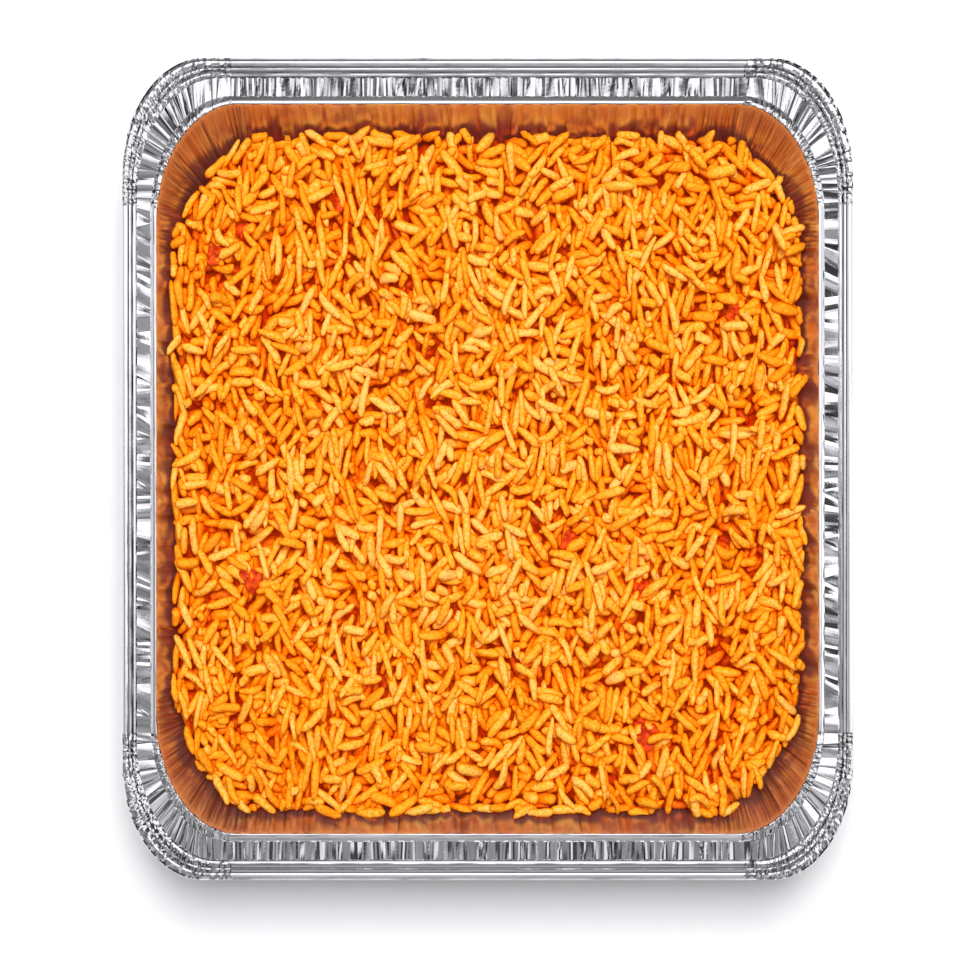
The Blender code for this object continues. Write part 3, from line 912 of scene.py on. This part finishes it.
def build_bed_mesh(looks, heap):
    """The rice under the loose grains: its top has the relief of the lowest layer of grains."""
    columns = round(TRAY_WIDTH / BED_SPACING)
    rows = round(TRAY_DEPTH / BED_SPACING)
    bm = bmesh.new()
    bmesh.ops.create_grid(bm, x_segments=columns, y_segments=rows, size=1.0)
    bmesh.ops.scale(bm, verts=bm.verts, vec=(TRAY_WIDTH / 2, TRAY_DEPTH / 2, 1.0))
    points = np.array([vert.co for vert in bm.verts])
    heights = heap.sample(heap.height, points[:, 0], points[:, 1])
    # Points outside or close to the wall go, and the border that is left is pulled out to it
    keep = inside(points[:, 0], points[:, 1], heights, BED_SPACING * 0.8)
    for vert, height in zip(bm.verts, heights):
        vert.co.z = height
    bmesh.ops.delete(bm, geom=[vert for vert, stays in zip(bm.verts, keep) if not stays], context="VERTS")
    border = [edge for edge in bm.edges if edge.is_boundary]
    for vert in {vert for edge in border for vert in edge.verts}:
        vert.co.xy = pull_to_wall(vert.co, looks.gap)
    foot = SOLID_FOIL + looks.gap
    grown = bmesh.ops.extrude_edge_only(bm, edges=border)["geom"]
    lower = [part for part in grown if isinstance(part, bmesh.types.BMVert)]
    for vert in lower:
        vert.co.z = foot
        vert.co.xy = pull_to_wall(vert.co, looks.gap + FLOOR_BEND / 2)
    lower_edges = [part for part in grown if isinstance(part, bmesh.types.BMEdge)]
    bmesh.ops.edgeloop_fill(bm, edges=[edge for edge in lower_edges if edge.is_boundary])
    bmesh.ops.recalc_face_normals(bm, faces=bm.faces)
    return mesh_from_bmesh("rice_bed", bm)


def pull_to_wall(point, gap):
    """The plan's nearest point this far inside the wall, at the same height."""
    half_x, half_y = half_sizes(wall_inset(point.z) + gap)
    over_x = abs(point.x) - (half_x - CORNER_X)
    over_y = abs(point.y) - (half_y - CORNER_Y)
    if over_x > 0 and over_y > 0:
        size = math.hypot(over_x / CORNER_X, over_y / CORNER_Y)
        over_x /= size
        over_y /= size
    elif over_x / CORNER_X > over_y / CORNER_Y:
        over_x = CORNER_X
    else:
        over_y = CORNER_Y
    x = half_x - CORNER_X + over_x
    y = half_y - CORNER_Y + over_y
    return Vector((math.copysign(x, point.x), math.copysign(y, point.y)))


def unit_grain():
    """A ball with its poles on the X axis, whose points take each grain's shape."""
    bm = bmesh.new()
    bmesh.ops.create_uvsphere(bm, u_segments=8, v_segments=10, radius=1.0)
    bmesh.ops.rotate(bm, verts=bm.verts, matrix=Matrix.Rotation(math.pi / 2, 3, "Y"))
    bmesh.ops.recalc_face_normals(bm, faces=bm.faces)
    points = np.array([vert.co for vert in bm.verts])
    faces = [[vert.index for vert in face.verts] for face in bm.faces]
    bm.free()
    return points, faces


def shape_grain(rng, ball, grain, stretch):
    """The points of one grain, lying in its place, and how far down round it each point lies, for its
    painted shade.
    """
    kind = GRAIN_KINDS[grain.kind]
    # Thickness along and round it: pointed or blunt ends, slow waves, a furrow, and a fine unevenness
    along = np.sign(ball[:, 0]) * np.abs(ball[:, 0]) ** 1.1
    around = np.arctan2(ball[:, 2], ball[:, 1])
    power = np.where(along > 0, *np.exp(rng.uniform(*POINTED, 2)))
    if kind.broken:
        power = np.where(along > 0, SNAPPED, power)
    girth = np.sqrt(np.clip(1 - np.abs(along) ** power, 0, 1))
    girth *= 1 + rng.uniform(-TAPER, TAPER) * along
    for waves in WAVES:
        phase = waves * along + rng.uniform(0, 6.3)
        girth *= 1 + WAVE_DEPTH * np.sin(phase + np.cos(around + rng.uniform(0, 6.3)))
    furrow = np.cos(around - rng.uniform(0, 2 * math.pi) - 0.4 * along)
    girth *= 1 - kind.groove * rng.uniform(*GROOVE_SPREAD) * np.exp((furrow - 1) * 7)
    girth *= 1 + rng.uniform(-ROUGH_SKIN, ROUGH_SKIN, len(girth))
    # Flattened, and rolled about its length
    flat = rng.uniform(*FLATNESS)
    roll = rng.uniform(0, math.pi)
    side = girth * np.cos(around)
    up = girth * np.sin(around) * flat
    side, up = side * math.cos(roll) - up * math.sin(roll), side * math.sin(roll) + up * math.cos(roll)
    # Bent near its middle, swaying, with drooping ends
    half = grain.length / 2
    bend = rng.uniform(*BEND_SPREAD) * rng.choice((-1, 1)) * kind.bend
    kink = rng.uniform(-KINK, KINK)
    sway = rng.uniform(-SWAY, SWAY)
    droop = rng.uniform(*DROOP)
    lengthwise = along * half * (1 - 0.3 * abs(bend))
    curve = bend * (np.sqrt((along - kink) ** 2 + 0.09) - 0.6) + sway * (along ** 3 - along)
    sideways = side * grain.radius + half * curve
    upward = up * grain.radius + half * droop * (0.35 - along ** 2)
    # Laid in its place, and stretched as the whole plan is
    tilt = math.atan(grain.slope)
    ahead = np.array((*(grain.direction * math.cos(tilt)), math.sin(tilt)))
    left = np.array((-grain.direction[1], grain.direction[0], 0.0))
    above = np.cross(ahead, left)
    middle = np.array((*grain.middle, grain.height))
    offsets = np.outer(lengthwise, ahead) + np.outer(sideways, left) + np.outer(upward, above)
    return middle + offsets * np.array((*stretch, 1.0)), np.clip((1.0 - up) / 1.6, 0, 1)


def add_grain_piece(looks, rng, index, grains, material):
    """All grains of one kind as one mesh."""
    ball, faces = unit_grain()
    stretch = (looks.stretch_x, looks.stretch_y)
    chosen = [grain for grain in grains if grain.kind == index]
    shapes = [shape_grain(rng, ball, grain, stretch) for grain in chosen]
    points = np.concatenate([shape[0] for shape in shapes])
    under = np.concatenate([shape[1] for shape in shapes])
    # Soft grains are pressed flat where they touch the wall
    for place in np.flatnonzero(~inside(*points.T, looks.gap)):
        points[place, :2] = pull_to_wall(Vector(points[place]), looks.gap)
    steps = np.arange(len(chosen))[:, None, None] * len(ball)
    patches = []
    for corners in (3, 4):
        same = np.array([face for face in faces if len(face) == corners])
        patches += (same[None] + steps).reshape(-1, corners).tolist()
    name = GRAIN_KINDS[index].name
    mesh = bpy.data.meshes.new(name)
    mesh.from_pydata(points, (), patches)
    mesh.shade_smooth()
    # Random tone from grain to grain, with painted shade on the undersides, painted shade and sauce deep in
    # the heap, and darker towards its edge.
    sauce_and_shade_amount = np.repeat(rng.uniform(0, 1, len(chosen)), len(ball)) * looks.spread
    sauce_and_shade_amount += looks.underside_shade * under ** SAUCE_AND_SHADE_POWER + sauce_and_shade_by_place(looks, *points.T)
    store_attribute(mesh, "sauce_and_shade", sauce_and_shade_amount)
    add_rice_piece(name, mesh, material)


def add_rice_piece(name, mesh, material):
    """Put a finished mesh in place of the rice's solid."""
    piece = link_object(name, mesh, material)
    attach(piece, BODY)
    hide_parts("rice")


TOMATO_GROUND = 40  # percentile of the heap's heights under a bit of tomato, at which it lies
TOMATO_CLEAR = 0.1  # room kept clear of the last grains over it, against its length and width
TOMATO_RISE = 0.2  # half its thickness, against its width
TOMATO_TOP = 1.4  # how high it holds up the grains on it, against half its thickness
TOMATO_ROUGHNESS = 0.22
# Bits of tomato: place, length and width in mm, and the angle they lie at
TOMATO_BITS = (
    (-98, 78, 9.5, 6.5, 20),
    (-89, 86.5, 8, 6, 80),
    (-54, 97.5, 8, 6, 150),
    (58, -97, 13, 9, 100),
    (30, -26, 8, 6, 40),
    (91, 57, 8, 6, 10),
    (-86, -40, 10, 7, 120),
    (55.5, -44, 8, 6, 60),
)


def tomato_material(looks):
    """Cooked tomato flesh: wet, so it has a sharper sheen than the rice. Its colour is painted light and
    shade that follow its bumps: lighter on the raised veins, darker in the dents.
    """
    material, tree, place = new_material("cooked_tomato_flesh")
    clouds = {"Vector": place, "Scale": 1 / (2.4 * MM), "Detail": 4.0}
    veins = add_node(tree, "TexNoise", clouds).outputs["Fac"]
    # Painted light and shade: the pattern that dents the flesh also makes its raised parts lighter and its
    # dents darker.
    limits = {"Value": veins, "From Min": 0.4, "From Max": 0.62}
    pale = add_node(tree, "MapRange", limits).outputs["Result"]
    colours = {"Factor": pale, 6: tuple(looks.tomato_dent_shade), 7: tuple(looks.tomato)}
    flesh = add_node(tree, "Mix", colours, data_type="RGBA").outputs[2]
    inputs = {"Base Color": flesh, "Roughness": TOMATO_ROUGHNESS, "IOR": 1.40}
    return finish_material(material, inputs, veins, strength=1.0, depth=0.9 * MM)


def build_tomato_mesh(rng, heap):
    """Crumpled flaps of tomato, pressed into the heap."""
    bm = bmesh.new()
    for x, y, length, width, angle in TOMATO_BITS:
        made = bmesh.ops.create_icosphere(bm, subdivisions=3, radius=1.0)["verts"]
        turn = math.radians(angle)
        direction = np.array((math.cos(turn), math.sin(turn)))
        middle = np.array((x, y)) * MM
        bit = Lying(0, middle, direction, length * MM, width / 2 * MM)
        cells, _, thick = heap.footprint(bit)
        ground = float(np.percentile(heap.height[cells][thick > 0], TOMATO_GROUND))
        phases = rng.uniform(0, 2 * math.pi, 6)
        rise = width * TOMATO_RISE * MM
        for vert in made:
            s, w, h = vert.co
            round_it = math.atan2(w, s)
            # The edge's lobes, and then the folds and wrinkles
            edge = 1 + 0.22 * math.sin(3 * round_it + phases[0]) + 0.12 * math.sin(7 * round_it + phases[1])
            fold = 0.5 * math.sin(4.2 * s + 1.3 * w + phases[2])
            fold += 0.35 * math.sin(6.5 * w - 2.1 * s + phases[3])
            wrinkle = 0.16 * math.sin(11 * s + 6 * w + phases[4])
            wrinkle += 0.14 * math.sin(13 * w - 5 * s + phases[5])
            s = s * edge * length / 2 * MM
            w = w * edge * width / 2 * MM
            vert.co.x = middle[0] + s * direction[0] - w * direction[1]
            vert.co.y = middle[1] + s * direction[1] + w * direction[0]
            vert.co.z = ground + rise * (0.35 + 0.8 * h + fold + wrinkle)
        heap.stamp(bit._replace(height=ground - bit.radius + TOMATO_TOP * rise), 0.0)
    return mesh_from_bmesh("tomato_pieces", bm)


class RICETRAY_OT_rice(bpy.types.Operator):
    """Make the bed of rice, the loose grains on it and the bits of tomato"""

    bl_idname = "rice_tray.rice"
    bl_label = "Rice"

    def execute(self, context):
        looks = context.scene.rice_tray_rice
        rng = np.random.default_rng(looks.seed)
        coated = cooked_rice_material(looks, "rice_in_tomato_sauce", BED_ROUGHNESS)
        material = cooked_rice_material(looks, "tomato_cooked_rice", RICE_ROUGHNESS)
        heap = Heap(looks)
        heap.drop_grains(rng, looks.buried, BED_CHOICES)
        bed = build_bed_mesh(looks, heap)
        bed.shade_smooth()
        points = np.array([vert.co for vert in bed.vertices])
        # Random tone of the bed's grains, with painted shade and sauce deep in the heap, and darker towards
        # its edge.
        sauce_and_shade_amount = looks.spread * heap.sample(heap.tone, points[:, 0], points[:, 1])
        sauce_and_shade_amount += sauce_and_shade_by_place(looks, *points.T)
        store_attribute(bed, "sauce_and_shade", sauce_and_shade_amount)
        add_rice_piece("rice_bed", bed, coated)

        grains = heap.drop_grains(rng, looks.loose - looks.last, LOOSE_CHOICES)
        tomato = build_tomato_mesh(rng, heap)
        tomato.shade_smooth()
        add_rice_piece("tomato_pieces", tomato, tomato_material(looks))
        clear = [
            (np.array((x, y)) * MM, (length + width) * TOMATO_CLEAR * MM)
            for x, y, length, width, _ in TOMATO_BITS
        ]
        grains += heap.drop_grains(rng, looks.last, LAST_CHOICES, clear)
        for index in range(len(GRAIN_KINDS)):
            add_grain_piece(looks, rng, index, grains, material)
        return {"FINISHED"}


# ---------------- stage


PAPER_HALF = 3.0  # half the width of the paper that the tray stands on, in metres
# Size, place and target of the lights, in metres
KEY_SIZE = (0.80, 1.0)
KEY_PLACE = (0.08, 0.66, 2.30)
FILL_SIZE = (1.8, 1.8)
FILL_PLACE = (0.0, -0.2, 2.4)
LIT_PLACE = (0.0, 0.0, TRAY_HEIGHT)


def backdrop_material():
    """Matte white seamless paper, plain and without sheen."""
    material, tree, place = new_material("white_seamless_paper")
    fibre = add_node(tree, "TexNoise", {"Vector": place, "Scale": 1 / (1.2 * MM)}).outputs["Fac"]
    inputs = {"Base Color": linear("#EBEBEC"), "Roughness": 0.9, "Specular IOR Level": 0.1}
    return finish_material(material, inputs, fibre, strength=0.05, depth=0.05 * MM)


# Soft panels of the room, as bright metal mirrors them. Each has the tilt of its middle from
# straight up, to the right and to the back, the half widths in degrees where it is full and
# where it has faded, and its brightness.
PANELS = (
    (2, 11, 4, 15, 1.5),  # heart of the softbox
    (22, 4, 3, 15, 1.3),  # its right part
    (-22, 12, 2, 15, 1.2),  # its left part
    (50, 12, 6, 18, 0.9),  # right wall, towards the back
    (48, -16, 5, 16, 0.9),  # right wall, towards the front
    (-54, 2, 6, 16, 0.7),  # left wall
    (0, 66, 8, 19, 0.4),  # back wall
    (0, -30, 4, 22, 0.5),  # reflector in front
    (0, -80, 10, 26, 0.2),  # pale sweep of paper in front
)


def build_room(looks):
    """A dim studio with soft panels, which only mirrored light sees."""
    world = bpy.data.worlds.new("room")
    world.use_nodes = True
    tree = world.node_tree
    tree.nodes.clear()
    direction = add_node(tree, "TexCoord").outputs["Generated"]
    upward = add_node(tree, "SeparateXYZ", {"Vector": direction}).outputs["Z"]
    clouds = {"Vector": direction, "Scale": 3.2, "Detail": 1.0}
    clutter = add_node(tree, "TexNoise", clouds).outputs["Fac"]
    limits = {"Value": clutter, "From Min": 0.4, "From Max": 0.62, "To Min": 0.07, "To Max": 0.39}
    ceiling = add_node(tree, "MapRange", limits, interpolation_type="SMOOTHSTEP").outputs["Result"]
    limits = {"Value": upward, "From Min": 0.35, "From Max": 0.95, "To Min": 0.02, "To Max": ceiling}
    light = add_node(tree, "MapRange", limits).outputs["Result"]
    for right, back, full, faded, brightness in PANELS:
        aim = Vector((math.tan(math.radians(right)), math.tan(math.radians(back)), 1.0)).normalized()
        toward = {0: direction, 1: aim}
        facing = add_node(tree, "VectorMath", toward, operation="DOT_PRODUCT").outputs["Value"]
        limits = {
            "Value": facing,
            "From Min": math.cos(math.radians(faded)),
            "From Max": math.cos(math.radians(full)),
            "To Min": 0.0,
            "To Max": brightness,
        }
        panel = add_node(tree, "MapRange", limits, interpolation_type="SMOOTHSTEP").outputs["Result"]
        light = add_node(tree, "Math", {0: panel, 1: light}).outputs["Value"]
    mirrored = add_node(tree, "LightPath").outputs["Is Glossy Ray"]
    seen = add_node(tree, "Mix", {"Factor": mirrored, "A": looks.room, "B": light})
    inputs = {"Color": linear("#FCFBFF"), "Strength": seen.outputs["Result"]}
    background = add_node(tree, "Background", inputs)
    add_node(tree, "OutputWorld", {"Surface": background.outputs["Background"]})
    return world


def add_soft_light(name, power, size, place):
    """A rectangular soft light that faces the tray. Metal mirrors the room's panels in its place."""
    lamp = bpy.data.lights.new(name, "AREA")
    lamp.energy = power
    lamp.shape = "RECTANGLE"
    lamp.size, lamp.size_y = size
    light = bpy.data.objects.new(name, lamp)
    bpy.context.scene.collection.objects.link(light)
    light.visible_glossy = False
    light.location = place
    light.rotation_euler = (Vector(LIT_PLACE) - Vector(place)).to_track_quat("-Z", "Y").to_euler()


class RICETRAY_OT_stage(bpy.types.Operator):
    """Make the floor, the lights and the camera"""

    bl_idname = "rice_tray.stage"
    bl_label = "Stage"

    def execute(self, context):
        looks = context.scene.rice_tray_stage
        scene = context.scene
        bm = bmesh.new()
        bmesh.ops.create_grid(bm, x_segments=1, y_segments=1, size=PAPER_HALF)
        floor = link_object("floor", mesh_from_bmesh("floor", bm), backdrop_material())

        scene.world = build_room(looks)
        add_soft_light("key", looks.key, KEY_SIZE, KEY_PLACE)
        add_soft_light("fill", looks.fill, FILL_SIZE, FILL_PLACE)

        lens = bpy.data.cameras.new("camera")
        lens.lens = lens.sensor_width * looks.camera_rise / looks.view_width
        camera = bpy.data.objects.new("camera", lens)
        scene.collection.objects.link(camera)
        camera.location = (looks.shift_x, looks.shift_y, TRAY_HEIGHT + looks.camera_rise)
        scene.camera = camera
        scene.view_settings.view_transform = "Standard"
        return {"FINISHED"}


# ---------------- panel and start


class RICETRAY_PT_panel(bpy.types.Panel):
    """Lists the steps that make the tray of rice"""

    bl_idname = "RICETRAY_PT_panel"
    bl_label = "Rice Tray"
    bl_space_type = "VIEW_3D"
    bl_region_type = "UI"
    bl_category = "Rice Tray"

    def draw(self, context):
        scene = context.scene
        for settings, operator in (
            (scene.rice_tray_foil, RICETRAY_OT_foil_tray),
            (scene.rice_tray_rice, RICETRAY_OT_rice),
            (scene.rice_tray_stage, RICETRAY_OT_stage),
        ):
            box = self.layout.box()
            for name in settings.__annotations__:
                box.prop(settings, name)
            box.operator(operator.bl_idname)


CLASSES = (
    RICETRAY_TrayProperties,
    RICETRAY_RiceProperties,
    RICETRAY_StageProperties,
    RICETRAY_OT_foil_tray,
    RICETRAY_OT_rice,
    RICETRAY_OT_stage,
    RICETRAY_PT_panel,
)


def register():
    for cls in CLASSES:
        bpy.utils.register_class(cls)
    bpy.types.Scene.rice_tray_foil = PointerProperty(type=RICETRAY_TrayProperties)
    bpy.types.Scene.rice_tray_rice = PointerProperty(type=RICETRAY_RiceProperties)
    bpy.types.Scene.rice_tray_stage = PointerProperty(type=RICETRAY_StageProperties)


def unregister():
    del bpy.types.Scene.rice_tray_stage
    del bpy.types.Scene.rice_tray_rice
    del bpy.types.Scene.rice_tray_foil
    for cls in reversed(CLASSES):
        bpy.utils.unregister_class(cls)


def main():
    register()
    bpy.ops.rice_tray.stage()
    bpy.ops.rice_tray.foil_tray()
    bpy.ops.rice_tray.rice()


if __name__ == "__main__":
    main()
